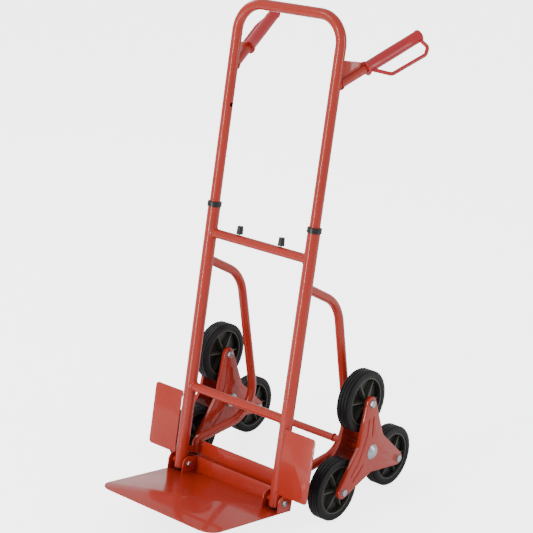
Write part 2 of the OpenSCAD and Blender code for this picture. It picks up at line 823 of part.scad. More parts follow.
upright(-1);  // upright_left
upright(1);  // upright_right
middle_crossbar();
lower_crossbar();
rear_support(-1);  // rear_support_left
rear_support(1);  // rear_support_right
back_plate();
side_plate(-1);  // side_plate_left
side_plate(1);  // side_plate_right
collars();
foot_plugs();
hinge_sleeves();
latch_guides();
spring_stops();
latch_spring(-1);  // latch_spring_left
latch_spring(1);  // latch_spring_right
axle();
axle_caps();
axle_collars();
handle_tube();
handle_glides();
grip_arms();
gussets();
grip(-1);  // grip_left
grip(1);  // grip_right
latch_pin(-1);  // latch_pin_left
latch_pin(1);  // latch_pin_right
latch_knob(-1);  // latch_knob_left
latch_knob(1);  // latch_knob_right
toe_plate();
hinge_bracket(-1);  // hinge_bracket_left
hinge_bracket(1);  // hinge_bracket_right
hinge_bolts();
hinge_nuts();
star_plate(-1, 1);  // star_left_outer_plate
star_plate(-1, -1);  // star_left_inner_plate
star_hub(-1);  // star_left_hub
star_bolts(-1);  // star_left_bolts
star_nuts(-1);  // star_left_nuts
star_spacers(-1);  // star_left_spacers
star_plate(1, 1);  // star_right_outer_plate
star_plate(1, -1);  // star_right_inner_plate
star_hub(1);  // star_right_hub
star_bolts(1);  // star_right_bolts
star_nuts(1);  // star_right_nuts
star_spacers(1);  // star_right_spacers
tyre(-1, 0);  // tyre_left_top
tyre(-1, 1);  // tyre_left_front
tyre(-1, 2);  // tyre_left_rear
tyre(1, 0);  // tyre_right_top
tyre(1, 1);  // tyre_right_front
tyre(1, 2);  // tyre_right_rear
rim(-1, 0);  // rim_left_top
rim(-1, 1);  // rim_left_front
rim(-1, 2);  // rim_left_rear
rim(1, 0);  // rim_right_top
rim(1, 1);  // rim_right_front
rim(1, 2);  // rim_right_rear
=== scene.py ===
import json
from math import acos, asin, atan2, cos, degrees, pi, radians, sin, sqrt, tan

import bmesh
import bpy
from mathutils import Matrix, Vector


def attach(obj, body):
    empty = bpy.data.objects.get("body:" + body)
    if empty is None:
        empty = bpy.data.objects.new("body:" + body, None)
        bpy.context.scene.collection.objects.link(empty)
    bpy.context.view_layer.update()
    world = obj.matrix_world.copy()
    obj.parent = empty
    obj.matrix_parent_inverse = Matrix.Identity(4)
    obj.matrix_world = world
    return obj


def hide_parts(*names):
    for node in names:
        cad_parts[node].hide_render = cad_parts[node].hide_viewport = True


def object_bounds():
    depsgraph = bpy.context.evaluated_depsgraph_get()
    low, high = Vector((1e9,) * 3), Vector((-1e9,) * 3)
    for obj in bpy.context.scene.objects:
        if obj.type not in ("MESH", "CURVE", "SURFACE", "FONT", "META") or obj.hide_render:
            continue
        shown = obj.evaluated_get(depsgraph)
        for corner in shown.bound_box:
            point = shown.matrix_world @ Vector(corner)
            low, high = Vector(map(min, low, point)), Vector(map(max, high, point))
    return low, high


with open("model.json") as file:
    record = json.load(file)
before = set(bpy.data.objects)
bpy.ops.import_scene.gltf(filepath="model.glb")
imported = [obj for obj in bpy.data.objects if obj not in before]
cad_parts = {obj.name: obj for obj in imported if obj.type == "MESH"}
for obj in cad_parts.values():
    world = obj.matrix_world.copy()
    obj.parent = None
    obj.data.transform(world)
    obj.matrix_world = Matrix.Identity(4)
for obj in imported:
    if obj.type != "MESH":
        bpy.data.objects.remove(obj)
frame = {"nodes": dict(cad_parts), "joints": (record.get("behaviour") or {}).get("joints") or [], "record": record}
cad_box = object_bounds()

# ---- How the truck stands ---------------------------------------------------
# The truck leans back on its four lower wheels. Each piece is shaped in the truck's own frame,
# with upright tubes and the toe plate's underside at height 0, and is leaned as it is finished.
MM = 0.001
record = frame["record"]
underside = Vector(record["mounts"][0]["axis"])
lean = atan2(-underside.y, -underside.z)
stand = Matrix.Rotation(-lean, 4, "X")
joint_at = {j["name"]: Vector(j["pos_m"]) for j in frame["joints"] if "pos_m" in j}


def finished_piece(name, bm, material, body, slot, *stands_for, sharp=35, leaned=True):
    """Turns a bmesh in millimetres into a smooth object that rides on its body."""
    bmesh.ops.remove_doubles(bm, verts=bm.verts, dist=0.002)
    bmesh.ops.recalc_face_normals(bm, faces=bm.faces)
    bmesh.ops.scale(bm, vec=(MM, MM, MM), verts=bm.verts)
    if leaned:
        bmesh.ops.transform(bm, matrix=stand, verts=bm.verts)
    mesh = bpy.data.meshes.new(name)
    bm.to_mesh(mesh)
    bm.free()
    mesh.shade_smooth()
    mesh.set_sharp_from_angle(angle=radians(sharp))
    mesh.materials.append(material)
    piece = bpy.data.objects.new(name, mesh)
    bpy.context.scene.collection.objects.link(piece)
    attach(piece, body)
    if stands_for:
        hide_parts(*stands_for)
    return piece


# ---- Studio -----------------------------------------------------------------
# A pale floor that the lower wheels stand on, and a white room with a tall strip lamp on the
# left and soft boxes above, beside and behind, as in a catalogue's light tent.
lowest = cad_box[0][2]
floor_size, floor_gap, paper_glow = 14, 0.0005, 3.4
bm = bmesh.new()
bmesh.ops.create_grid(bm, x_segments=1, y_segments=1, size=floor_size)
bmesh.ops.translate(bm, vec=(0, 0, lowest - floor_gap), verts=bm.verts)
floor_mesh = bpy.data.meshes.new("studio_floor")
bm.to_mesh(floor_mesh)
bm.free()
floor = bpy.data.objects.new("studio_floor", floor_mesh)
bpy.context.scene.collection.objects.link(floor)
floor_paper = bpy.data.materials.new("floor_paper")
floor_paper.use_nodes = True
paper_tree = floor_paper.node_tree
paper = paper_tree.nodes["Principled BSDF"]
paper.inputs["Base Color"].default_value = (0.97, 0.97, 0.97, 1)
paper.inputs["Roughness"].default_value = 0.9
# the paper glows for the camera alone, so that it looks white and the paint's reflections stay soft
glow = paper_tree.nodes.new("ShaderNodeMath")
glow.operation = "MULTIPLY"
glow.inputs[1].default_value = paper_glow
seen = paper_tree.nodes.new("ShaderNodeLightPath")
paper_tree.links.new(seen.outputs["Is Camera Ray"], glow.inputs[0])
paper_tree.links.new(glow.outputs["Value"], paper.inputs["Emission Strength"])
paper.inputs["Emission Color"].default_value = (1, 1, 1, 1)
floor_mesh.materials.append(floor_paper)

world = bpy.data.worlds.new("light_tent")
world.use_nodes = True
world.node_tree.nodes["Background"].inputs["Color"].default_value = (1, 1, 1, 1)
world.node_tree.nodes["Background"].inputs["Strength"].default_value = 0.85
bpy.context.scene.world = world


def soft_lamp(name, at, aim, width, height, power):
    lamp = bpy.data.lights.new(name, "AREA")
    lamp.shape = "RECTANGLE"
    lamp.size = width
    lamp.size_y = height
    lamp.energy = power
    holder = bpy.data.objects.new(name, lamp)
    holder.location = at
    holder.rotation_euler = (Vector(at) - Vector(aim)).to_track_quat("Z", "Y").to_euler()
    bpy.context.scene.collection.objects.link(holder)


soft_lamp("tall_strip", (-0.55, -3.2, 1.5), (0, 0.1, 0.6), 0.3, 3.0, 75)
soft_lamp("high_box", (-1.8, -2.6, 3.6), (0, 0.1, 0.5), 1.4, 1.4, 30)
soft_lamp("side_box", (2.8, 1.5, 1.3), (0, 0.1, 0.5), 0.7, 1.8, 24)
soft_lamp("back_box", (-2.97, 0.87, 2.69), (-0.17, -0.25, 0.05), 0.9, 0.9, 26)

# ---- Camera -----------------------------------------------------------------
# A long lens at chest height, in front and to the right of the truck.
view_azimuth, view_elevation, view_roll = radians(40.372), radians(20.662), radians(-0.615)
view_distance = 3.4597
view_target = Vector((0.02885, 0.12949, 0.56085))
back = Vector((sin(view_azimuth) * cos(view_elevation), -cos(view_azimuth) * cos(view_elevation),
               sin(view_elevation)))
level_right = Vector((cos(view_azimuth), sin(view_azimuth), 0))
level_up = back.cross(level_right)
right = level_right * cos(view_roll) + level_up * sin(view_roll)
up = back.cross(right)
camera_data = bpy.data.cameras.new("camera")
camera_data.lens = 101.86
camera_data.sensor_width = 36
camera_data.shift_x = -0.0022
camera_data.shift_y = -0.0187
camera = bpy.data.objects.new("camera", camera_data)
axes = Matrix((right, up, back)).transposed().to_4x4()
camera.matrix_world = Matrix.Translation(view_target + back * view_distance) @ axes
bpy.context.scene.collection.objects.link(camera)
bpy.context.scene.camera = camera

# ---- Red frame tubes --------------------------------------------------------
# Steel tube with a glossy red powder coat. The two uprights are cut square; the crossbars, the rear
# supports and the axle are welded between them.


def make_group(name, values, results):
    """A shader node group with its sockets: values go in, results come out."""
    group = bpy.data.node_groups.new(name, "ShaderNodeTree")
    for label, kind, start in values:
        socket = group.interface.new_socket(label, in_out="INPUT", socket_type=kind)
        socket.default_value = start
    for label, kind in results:
        group.interface.new_socket(label, in_out="OUTPUT", socket_type=kind)
    return group, group.nodes.new("NodeGroupInput"), group.nodes.new("NodeGroupOutput")


def noise_in(tree, scale, detail, rough=0.5):
    noise = tree.nodes.new("ShaderNodeTexNoise")
    noise.inputs["Scale"].default_value = scale
    noise.inputs["Detail"].default_value = detail
    noise.inputs["Roughness"].default_value = rough
    coords = tree.nodes.new("ShaderNodeTexCoord")
    tree.links.new(coords.outputs["Object"], noise.inputs["Vector"])
    return noise.outputs["Fac"]


def ramp_in(tree, source, low, high):
    span = tree.nodes.new("ShaderNodeMapRange")
    span.inputs["From Min"].default_value = low
    span.inputs["From Max"].default_value = high
    tree.links.new(source, span.inputs["Value"])
    return span.outputs["Result"]


def mix_in(tree, amount, a, b):
    mix = tree.nodes.new("ShaderNodeMix")
    mix.data_type = "RGBA"
    tree.links.new(amount, mix.inputs["Factor"])
    for value, socket in ((a, mix.inputs["A"]), (b, mix.inputs["B"])):
        if isinstance(value, tuple):
            socket.default_value = value
        else:
            tree.links.new(value, socket)
    return mix.outputs["Result"]


def math_in(tree, operation, a, b):
    node = tree.nodes.new("ShaderNodeMath")
    node.operation = operation
    for value, socket in ((a, node.inputs[0]), (b, node.inputs[1])):
        if isinstance(value, (int, float)):
            socket.default_value = value
        else:
            tree.links.new(value, socket)
    return node.outputs["Value"]


# Mottle: slow patches of a second shade, a fine grain in the gloss, and a height for bump
mottle, given, given_out = make_group(
    "mottle",
    [("Shade", "NodeSocketColor", (0.5, 0.5, 0.5, 1)),
     ("Patch Shade", "NodeSocketColor", (0.4, 0.4, 0.4, 1)),
     ("Patches", "NodeSocketFloat", 0.5), ("Gloss Low", "NodeSocketFloat", 0.3),
     ("Gloss High", "NodeSocketFloat", 0.4)],
    [("Color", "NodeSocketColor"), ("Roughness", "NodeSocketFloat"), ("Height", "NodeSocketFloat")])
patches = ramp_in(mottle, noise_in(mottle, 9, 4), 0.35, 0.7)
amount = math_in(mottle, "MULTIPLY", patches, given.outputs["Patches"])
mottle.links.new(mix_in(mottle, amount, given.outputs["Shade"], given.outputs["Patch Shade"]),
                 given_out.inputs["Color"])
smears = noise_in(mottle, 42, 5, 0.65)
gloss_span = math_in(mottle, "SUBTRACT", given.outputs["Gloss High"], given.outputs["Gloss Low"])
gloss = math_in(mottle, "ADD", given.outputs["Gloss Low"], math_in(mottle, "MULTIPLY", smears, gloss_span))
mottle.links.new(gloss, given_out.inputs["Roughness"])
mottle.links.new(noise_in(mottle, 520, 2), given_out.inputs["Height"])


def mottled_finish(name, shade, patch_shade, patches, gloss, bump, metallic=0.0, coat=0.0, specular=0.5):
    """A material on the mottle group: shades, how patchy, its gloss from and to, its bump in metres."""
    material = bpy.data.materials.new(name)
    material.use_nodes = True
    tree = material.node_tree
    shader = tree.nodes["Principled BSDF"]
    group = tree.nodes.new("ShaderNodeGroup")
    group.node_tree = mottle
    group.inputs["Shade"].default_value = (*shade, 1)
    group.inputs["Patch Shade"].default_value = (*patch_shade, 1)
    group.inputs["Patches"].default_value = patches
    group.inputs["Gloss Low"].default_value = gloss[0]
    group.inputs["Gloss High"].default_value = gloss[1]
    relief = tree.nodes.new("ShaderNodeBump")
    relief.inputs["Strength"].default_value = 0.6
    relief.inputs["Distance"].default_value = bump
    tree.links.new(group.outputs["Color"], shader.inputs["Base Color"])
    tree.links.new(group.outputs["Roughness"], shader.inputs["Roughness"])
    tree.links.new(group.outputs["Height"], relief.inputs["Height"])
    tree.links.new(relief.outputs["Normal"], shader.inputs["Normal"])
    shader.inputs["Metallic"].default_value = metallic
    shader.inputs["Coat Weight"].default_value = coat
    shader.inputs["Coat Roughness"].default_value = 0.07
    shader.inputs["Specular IOR Level"].default_value = specular
    return material


red_coat = mottled_finish("red_coat", (0.40, 0.028, 0.014), (0.34, 0.022, 0.011), 0.6, (0.26, 0.36), 0.00003,
                          coat=0.55, specular=0.2)


def verts_in(made):
    return [g for g in made if isinstance(g, bmesh.types.BMVert)]


def edges_in(made):
    return [g for g in made if isinstance(g, bmesh.types.BMEdge)]


def swept_tube(bm, start, heading, radius, route, wall=2.0, sides=40):
    """Sweeps a round tube through ("run", length) and ("bend", radius, angle about +Z) steps."""
    bend_step, end_depth = 4, 14
    at = Matrix.Translation(start) @ heading
    ring = bmesh.ops.create_circle(bm, segments=sides, radius=radius, cap_ends=False)["verts"]
    bmesh.ops.transform(bm, verts=ring, matrix=at @ Matrix.Rotation(pi / 2, 4, "Y"))
    edges = list({e for v in ring for e in v.link_edges})
    first = edges[:]
    for step in route:
        if step[0] == "run":
            made = bmesh.ops.extrude_edge_only(bm, edges=edges)["geom"]
            verts = verts_in(made)
            edges = edges_in(made)
            move = at.to_3x3() @ Vector((step[1], 0, 0))
            bmesh.ops.translate(bm, verts=verts, vec=move)
            at = Matrix.Translation(move) @ at
        else:
            side = 1 if step[2] > 0 else -1
            centre = at @ Vector((0, side * step[1], 0))
            axis = at.to_3x3() @ Vector((0, 0, 1))
            turns = max(6, int(abs(degrees(step[2])) / bend_step))
            made = bmesh.ops.spin(bm, geom=edges, cent=centre, axis=axis, angle=step[2], steps=turns,
                                  use_merge=False, use_duplicate=False)["geom_last"]
            edges = edges_in(made)
            about = Matrix.Translation(centre) @ Matrix.Rotation(step[2], 4, axis)
            at = about @ Matrix.Translation(-centre) @ at
    # the cut ends turn in to the tube's wall and close a little way inside
    for end, inward in ((first, Matrix.Translation(start) @ heading), (edges, at)):
        direction = inward.to_3x3() @ Vector((1 if end is first else -1, 0, 0))
        middle = inward.translation
        for shrink, depth in (((radius - wall) / radius, 0), (1, end_depth), (0.01, 0)):
            made = bmesh.ops.extrude_edge_only(bm, edges=end)["geom"]
            verts = verts_in(made)
            end = edges_in(made)
            for v in verts:
                v.co = middle + (v.co - middle) * shrink
            bmesh.ops.translate(bm, verts=verts, vec=direction * depth)
            middle = middle + direction * depth
    return at


half, upright_r, bar_r, axle_r = 150.0, 15.0, 11.0, 9.0
upright_foot, upright_top = 12.0, 664.0
mid_bar_z, low_bar_z, bar_sink = 595.0, 217.0, 2
UP = Matrix.Rotation(-pi / 2, 4, "Y")
ACROSS = Matrix.Identity(4)
for side, word in ((-1, "left"), (1, "right")):
    bm = bmesh.new()
    swept_tube(bm, (side * half, 0, upright_foot), UP, upright_r, [("run", upright_top - upright_foot)])
    finished_piece(f"upright_tube_{word}", bm, red_coat, "frame", "red_paint", f"upright_{word}")
for name, height in (("middle_crossbar", mid_bar_z), ("lower_crossbar", low_bar_z)):
    bm = bmesh.new()
    reach = half - upright_r + bar_sink
    swept_tube(bm, (-reach, 0, height), ACROSS, bar_r, [("run", 2 * reach)])
    finished_piece(f"{name}_tube", bm, red_coat, "frame", "red_paint", name)

# ---- Weld beads -------------------------------------------------------------
# A rippled bead of weld runs round each tube where it meets an upright, under the same red coat.


def raised_from(centre, way):
    """The place whose +Z points along way, with its origin at centre."""
    turn = Vector((0, 0, 1)).rotation_difference(Vector(way)).to_matrix().to_4x4()
    return Matrix.Translation(centre) @ turn


def weld_bead(bm, centre, normal, radius, thickness, post_x=None, sides=72):
    """A ring of weld about normal. With post_x, it drops onto the round of the upright at that X."""
    ripples, ripple_depth, waves, wave_depth = 15, 0.16, 4, 0.08
    ring = bmesh.ops.create_circle(bm, segments=10, radius=thickness)["verts"]
    stood_up = Matrix.Translation((radius, 0, 0)) @ Matrix.Rotation(pi / 2, 4, "X")
    bmesh.ops.transform(bm, verts=ring, matrix=stood_up)
    edges = list({e for v in ring for e in v.link_edges})
    old = set(bm.verts) - set(ring)
    bmesh.ops.spin(bm, geom=edges, cent=(0, 0, 0), axis=(0, 0, 1), angle=2 * pi, steps=sides,
                   use_merge=True, use_duplicate=False)
    verts = [v for v in bm.verts if v not in old]
    for v in verts:
        around = atan2(v.co.y, v.co.x)
        out = Vector((cos(around), sin(around), 0))
        core = out * radius
        swell = 1 + ripple_depth * sin(around * ripples) + wave_depth * sin(around * waves + 1)
        v.co = core + (v.co - core) * swell
    bmesh.ops.transform(bm, verts=verts, matrix=raised_from(centre, normal))
    if post_x is not None:
        outward = Vector(normal)
        across = Vector((outward.y, outward.x, 0))
        for v in verts:
            off = min(abs((v.co - Vector((post_x, 0, 0))).dot(across)), upright_r)
            v.co -= outward * (upright_r - sqrt(upright_r ** 2 - off ** 2))


bead_out, bead_spread, bead_r = 0.9, 0.6, 2.0
bm = bmesh.new()
for side in (-1, 1):
    for height in (mid_bar_z, low_bar_z):
        weld_bead(bm, (side * (half - upright_r - bead_out), 0, height), (-side, 0, 0),
                  bar_r + bead_spread, bead_r, side * half)
finished_piece("crossbar_welds", bm, red_coat, "frame", "red_paint", sharp=180)

# ---- Rear supports ----------------------------------------------------------
# Each support leaves the back of its upright, bends down behind the wheels, turns forward round the
# axle and ends in a short stub that a web ties to the upright's foot. Both are the CAD's own bodies.
axle_y, axle_z, support_z = 208.0, 141.0, 525.4


def repaint(material, *names):
    """Puts a material on CAD nodes that are seen as they are."""
    for name in names:
        materials = frame["nodes"][name].data.materials
        materials.clear()
        materials.append(material)


bm = bmesh.new()
for side, word in ((-1, "left"), (1, "right")):
    weld_bead(bm, (side * half, upright_r + bead_out, support_z), (0, 1, 0), bar_r + bead_spread, bead_r,
              side * half)
    repaint(red_coat, f"rear_support_{word}")
finished_piece("support_welds", bm, red_coat, "frame", "red_paint", sharp=180)

bm = bmesh.new()
star_centre = stand.inverted() @ joint_at["star_right_turn"] / MM
axle_past = 39.0
axle_end = star_centre.x + axle_past
swept_tube(bm, (-axle_end, axle_y, axle_z), ACROSS, axle_r, [("run", 2 * axle_end)])
for side in (-1, 1):
    weld_bead(bm, (side * (half - bar_r * 0.6), axle_y - 1, axle_z + 1), (1, 0, 0), axle_r + 0.3, 1.7)
finished_piece("axle_tube", bm, red_coat, "frame", "red_paint", "axle")

# ---- Side plates and back plate ---------------------------------------------
# Flat sheet steel with rounded corners, welded to the uprights' sides and between the stubs.


def sheet_plate(bm, outline, thickness, place, edge=0.7):
    """A flat plate from its outline, thickened and with its edges rounded over."""
    verts = [bm.verts.new((x, y, 0)) for x, y in outline]
    face = bm.faces.new(verts)
    made = bmesh.ops.extrude_face_region(bm, geom=[face])["geom"]
    top = verts_in(made)
    bmesh.ops.translate(bm, verts=top, vec=(0, 0, thickness))
    rims = [e for e in {e for v in verts + top for e in v.link_edges}
            if abs((e.verts[0].co - e.verts[1].co).z) < 1e-4]
    bevelled = bmesh.ops.bevel(bm, geom=rims, offset=edge, offset_type="OFFSET", segments=2, profile=0.5,
                               affect="EDGES", material=-1)
    everything = {v for v in verts + top if v.is_valid} | set(bevelled["verts"])
    reached = set()
    while everything:
        v = everything.pop()
        if v in reached:
            continue
        reached.add(v)
        everything |= {e.other_vert(v) for e in v.link_edges} - reached
    bmesh.ops.transform(bm, verts=list(reached), matrix=place)
    return list(reached)


def arc(cx, cy, radius, start, end, steps=8):
    return [(cx + radius * cos(radians(start + (end - start) * i / steps)),
             cy + radius * sin(radians(start + (end - start) * i / steps))) for i in range(steps + 1)]


side_inner, side_reach, side_corner = 11, 98.0, 9.0
side_foot, side_h, side_t, side_gap = 46.0, 156.0, 2.8, 0.2
tack_inset, tack_size = 8, (2.2, 2.4, 8)
for side, word in ((-1, "left"), (1, "right")):
    bm = bmesh.new()
    outline = ([(side_inner, 0)] + arc(side_reach - side_corner, side_corner, side_corner, -90, 0)
               + arc(side_reach - side_corner, side_h - side_corner, side_corner, 0, 90)
               + [(side_inner, side_h)])
    facing = Matrix(((side, 0, 0, 0), (0, 0, 1, 0), (0, 1, 0, 0), (0, 0, 0, 1)))
    place = Matrix.Translation((side * half, -upright_r - side_gap, side_foot)) @ facing
    sheet_plate(bm, outline, side_t, place)
    for height in (side_foot + tack_inset, side_foot + side_h - tack_inset):
        drop = bmesh.ops.create_uvsphere(bm, u_segments=20, v_segments=12, radius=1)["verts"]
        bmesh.ops.scale(bm, vec=tack_size, verts=drop)
        bmesh.ops.translate(bm, vec=(side * (half + 10.5), -upright_r + 0.6, height), verts=drop)
    finished_piece(f"side_sheet_{word}", bm, red_coat, "frame", "red_paint", f"side_plate_{word}")

stub_y, back_t, back_foot, back_top = 50.0, 3.0, 31.0, 74.0
bm = bmesh.new()
back_half = half - bar_r + 1
back_h = back_top - back_foot
outline = [(-back_half, 0), (back_half, 0), (back_half, back_h), (-back_half, back_h)]
place = Matrix.Translation((0, stub_y + back_t / 2, back_foot)) @ Matrix.Rotation(pi / 2, 4, "X")
sheet_plate(bm, outline, back_t, place)
finished_piece("back_sheet", bm, red_coat, "frame", "red_paint", "back_plate")

# ---- Collars, plugs and knobs -----------------------------------------------
# Black moulded plastic: a collar over each upright's end, a plug in its foot, and a ribbed,
# slightly tapered knob on each latch.
black_plastic = mottled_finish("black_plastic", (0.005, 0.005, 0.006), (0.009, 0.009, 0.01), 0.7,
                               (0.28, 0.42), 0.00005)


def turned(bm, profile, centre, axis, steps=64):
    """Spins a closed profile of (radius, height) points about an axis through centre."""
    verts = [bm.verts.new((r, 0, h)) for r, h in profile]
    edges = [bm.edges.new((a, b)) for a, b in zip(verts, verts[1:] + verts[:1])]
    old = set(bm.verts) - set(verts)
    bmesh.ops.spin(bm, geom=edges, cent=(0, 0, 0), axis=(0, 0, 1), angle=2 * pi, steps=steps,
                   use_merge=True, use_duplicate=False)
    made = [v for v in bm.verts if v not in old]
    bmesh.ops.transform(bm, verts=made, matrix=raised_from(centre, axis))
    return made


collar_r, collar_drop, collar_rise, collar_bore, collar_fit = 17, -7, 5.6, 12.7, 15.05
collar_profile = [(collar_fit, collar_drop), (16.4, collar_drop), (collar_r, -6.4), (collar_r, 4.6),
                  (16.2, collar_rise), (13.4, collar_rise), (collar_bore, 5), (collar_bore, 0.05),
                  (collar_fit, 0.05)]
bm = bmesh.new()
for side in (-1, 1):
    turned(bm, collar_profile, (side * half, 0, upright_top), (0, 0, 1))
finished_piece("collar_rings", bm, black_plastic, "frame", "black_plastic", "collars")

knob_x, knob_low, knob_top, knob_h, knob_gap = 62.5, 8.2, 7.0, 19.0, 2.5
knob_ribs, rib_depth, plain_depth = 16, 0.55, 0.15
zinc_plate = mottled_finish("zinc_plate", (0.5, 0.52, 0.54), (0.34, 0.36, 0.38), 0.8, (0.22, 0.4), 0.00005,
                            metallic=1.0)
for side, word in ((-1, "left"), (1, "right")):
    bm = bmesh.new()
    base = mid_bar_z + bar_r + knob_gap
    bmesh.ops.create_cone(bm, cap_ends=True, segments=96, radius1=knob_low, radius2=knob_top, depth=knob_h)
    tall = [e for e in bm.edges if abs(e.verts[0].co.z - e.verts[1].co.z) > 1]
    bmesh.ops.subdivide_edges(bm, edges=tall, cuts=6)
    for v in bm.verts:
        depth = rib_depth if abs(v.co.z) < knob_h / 2 - 1 else plain_depth
        around = atan2(v.co.y, v.co.x)
        shrink = 1 - depth / knob_low * (0.5 + 0.5 * cos(around * knob_ribs))
        v.co.x *= shrink
        v.co.y *= shrink
    bmesh.ops.translate(bm, vec=(side * knob_x, 0, base + knob_h / 2), verts=bm.verts)
    finished_piece(f"knob_{word}", bm, black_plastic, f"latch_{word}", "black_plastic", f"latch_knob_{word}",
                   sharp=50)
repaint(black_plastic, "foot_plugs", "handle_glides", "latch_guides")
repaint(zinc_plate, "latch_pin_left", "latch_pin_right", "axle_collars", "spring_stops", "latch_spring_left",
     "latch_spring_right")
repaint(red_coat, "hinge_sleeves", "star_left_hub", "star_right_hub")

# ---- Handle -----------------------------------------------------------------
# One bent tube that slides in the uprights, with a latch hole in each leg, and a grip arm with a
# triangular gusset welded to the back of each leg.
repaint(red_coat, "handle_tube")

arm_z, arm_r, arm_splay, arm_rise = 984.0, 10.0, radians(17), radians(32)
grip_start, grip_l, grip_r = 89.0, 164.0, 14.0


def arm_place(side):
    """Local +X runs along the arm, local +Z is up."""
    place = (Matrix.Translation((half, 0, arm_z)) @ Matrix.Rotation(-arm_splay, 4, "Z")
             @ Matrix.Rotation(arm_rise, 4, "X") @ Matrix.Rotation(pi / 2, 4, "Z"))
    return Matrix.Scale(-1, 4, (1, 0, 0)) @ place if side < 0 else place


bm = bmesh.new()
for side in (-1, 1):
    place = arm_place(side)
    old = set(bm.verts)
    swept_tube(bm, (8, 0, 0), ACROSS, arm_r, [("run", grip_start + grip_l - 20)])
    bmesh.ops.transform(bm, verts=[v for v in bm.verts if v not in old], matrix=place)
    aim = place.to_3x3() @ Vector((1, 0, 0))
    weld_bead(bm, place @ Vector((15.5, 0, 0)), (aim.x * 0.5, aim.y, aim.z * 0.45), arm_r + 1.2, 2.3)
finished_piece("arm_tubes", bm, red_coat, "handle", "red_paint", "grip_arms")

bm = bmesh.new()
gusset_t, gusset_foot, gusset_top, gusset_back = 3, 11.5, 61, 70
gusset_slope = gusset_back * tan(arm_rise)
gusset = [(gusset_foot, 3), (gusset_back, gusset_slope), (gusset_back, gusset_slope + 5), (64, gusset_top),
          (gusset_foot, gusset_top)]
# a plate's own X and Y become the truck's Y and Z
SIDE_ON = Matrix(((0, 0, 1, 0), (1, 0, 0, 0), (0, 1, 0, 0), (0, 0, 0, 1)))
for side in (-1, 1):
    place = (Matrix.Translation((half, 0, arm_z)) @ Matrix.Rotation(-arm_splay, 4, "Z") @ SIDE_ON
             @ Matrix.Translation((0, 0, -gusset_t / 2)))
    if side < 0:
        place = Matrix.Scale(-1, 4, (1, 0, 0)) @ place
    sheet_plate(bm, gusset, gusset_t, place, edge=0.6)
finished_piece("gusset_sheets", bm, red_coat, "handle", "red_paint", "gussets")

# ---- Grips ------------------------------------------------------------------
# Soft red PVC pushed onto each arm, moulded in one with a flange at the front and a knuckle guard
# that leaves behind the flange and comes back near the closed, rounded end.
red_pvc = mottled_finish("red_pvc", (0.42, 0.014, 0.02), (0.36, 0.011, 0.017), 0.5, (0.22, 0.34), 0.00006)
guard_reach, guard_r, guard_bend, guard_turn = 50.0, 4.5, 12.0, radians(54)
for side, word in ((-1, "left"), (1, "right")):
    bm = bmesh.new()
    outer = ([(10.1, 0), (16.2, 0), (17, 0.8), (17, 4.2), (16.2, 5), (grip_r + 0.6, 5), (grip_r, 6.5)]
             + [(grip_r, 40), (grip_r + 0.2, 80), (grip_r, 120)]
             + [(grip_r, grip_l - 7), (grip_r + 0.9, grip_l - 5.5)]
             + arc(grip_r - 1.6, grip_l - 2.5, 2.5, 0, 90, 5) + [(0.01, grip_l)])
    turned(bm, outer + [(0.01, grip_l - 4), (10.1, grip_l - 4)], (grip_start, 0, 0), (1, 0, 0))
    old = set(bm.verts)
    points = [(grip_start + 11, grip_r - 4), (grip_start + 38, guard_reach - 3),
              (grip_start + 137, guard_reach), (grip_start + 156, guard_reach - 14),
              (grip_start + grip_l - 8, grip_r - 4)]
    ways = [Vector(b) - Vector(a) for a, b in zip(points, points[1:])]
    turns = [atan2(a.x * b.y - a.y * b.x, a.dot(b)) for a, b in zip(ways, ways[1:])]
    cuts = [0] + [guard_bend * tan(abs(t) / 2) for t in turns] + [0]
    route = []
    for i, way in enumerate(ways):
        route.append(("run", way.length - cuts[i] - cuts[i + 1]))
        if i < len(turns):
            route.append(("bend", guard_bend, turns[i]))
    swept_tube(bm, (points[0][0], points[0][1], 0), Matrix.Rotation(atan2(ways[0].y, ways[0].x), 4, "Z"),
               guard_r, route, wall=1.5, sides=24)
    guard = [v for v in bm.verts if v not in old]
    # the guard's plane turns from straight out of the axis to down and outward
    bmesh.ops.transform(bm, verts=guard, matrix=Matrix.Rotation(-pi / 2 - guard_turn, 4, "X"))
    bmesh.ops.transform(bm, verts=bm.verts, matrix=arm_place(side))
    finished_piece(f"grip_sleeve_{word}", bm, red_pvc, "handle", "grip_red", f"grip_{word}", sharp=50)

# ---- Toe plate --------------------------------------------------------------
# A folding blade of sheet steel with its back edge bent up. A bracket welded at each end of the
# bend straddles the upright's foot and turns on a bolt through it.
hinge_z, ear_half, toe_t = 25.0, 22.0, 3.0
toe_reach, toe_corner, upstand_y, upstand_h = 253.0, 36.0, 28.0, 40.0
toe_half = half + ear_half + toe_t
bm = bmesh.new()
blade = (arc(toe_half - toe_corner, toe_corner - toe_reach, toe_corner, -90, 0, 14)
         + [(toe_half, upstand_y + toe_t), (-toe_half, upstand_y + toe_t)]
         + arc(toe_corner - toe_half, toe_corner - toe_reach, toe_corner, 180, 270, 14))
sheet_plate(bm, blade, toe_t, Matrix.Identity(4), edge=0.8)
upstand_half = half - ear_half - toe_t - 0.3
upstand = [(-upstand_half, 1), (upstand_half, 1), (upstand_half, upstand_h), (-upstand_half, upstand_h)]
sheet_plate(bm, upstand, toe_t,
            Matrix.Translation((0, upstand_y + toe_t, 0)) @ Matrix.Rotation(pi / 2, 4, "X"))
finished_piece("toe_blade", bm, red_coat, "toe", "red_paint", "toe_plate")

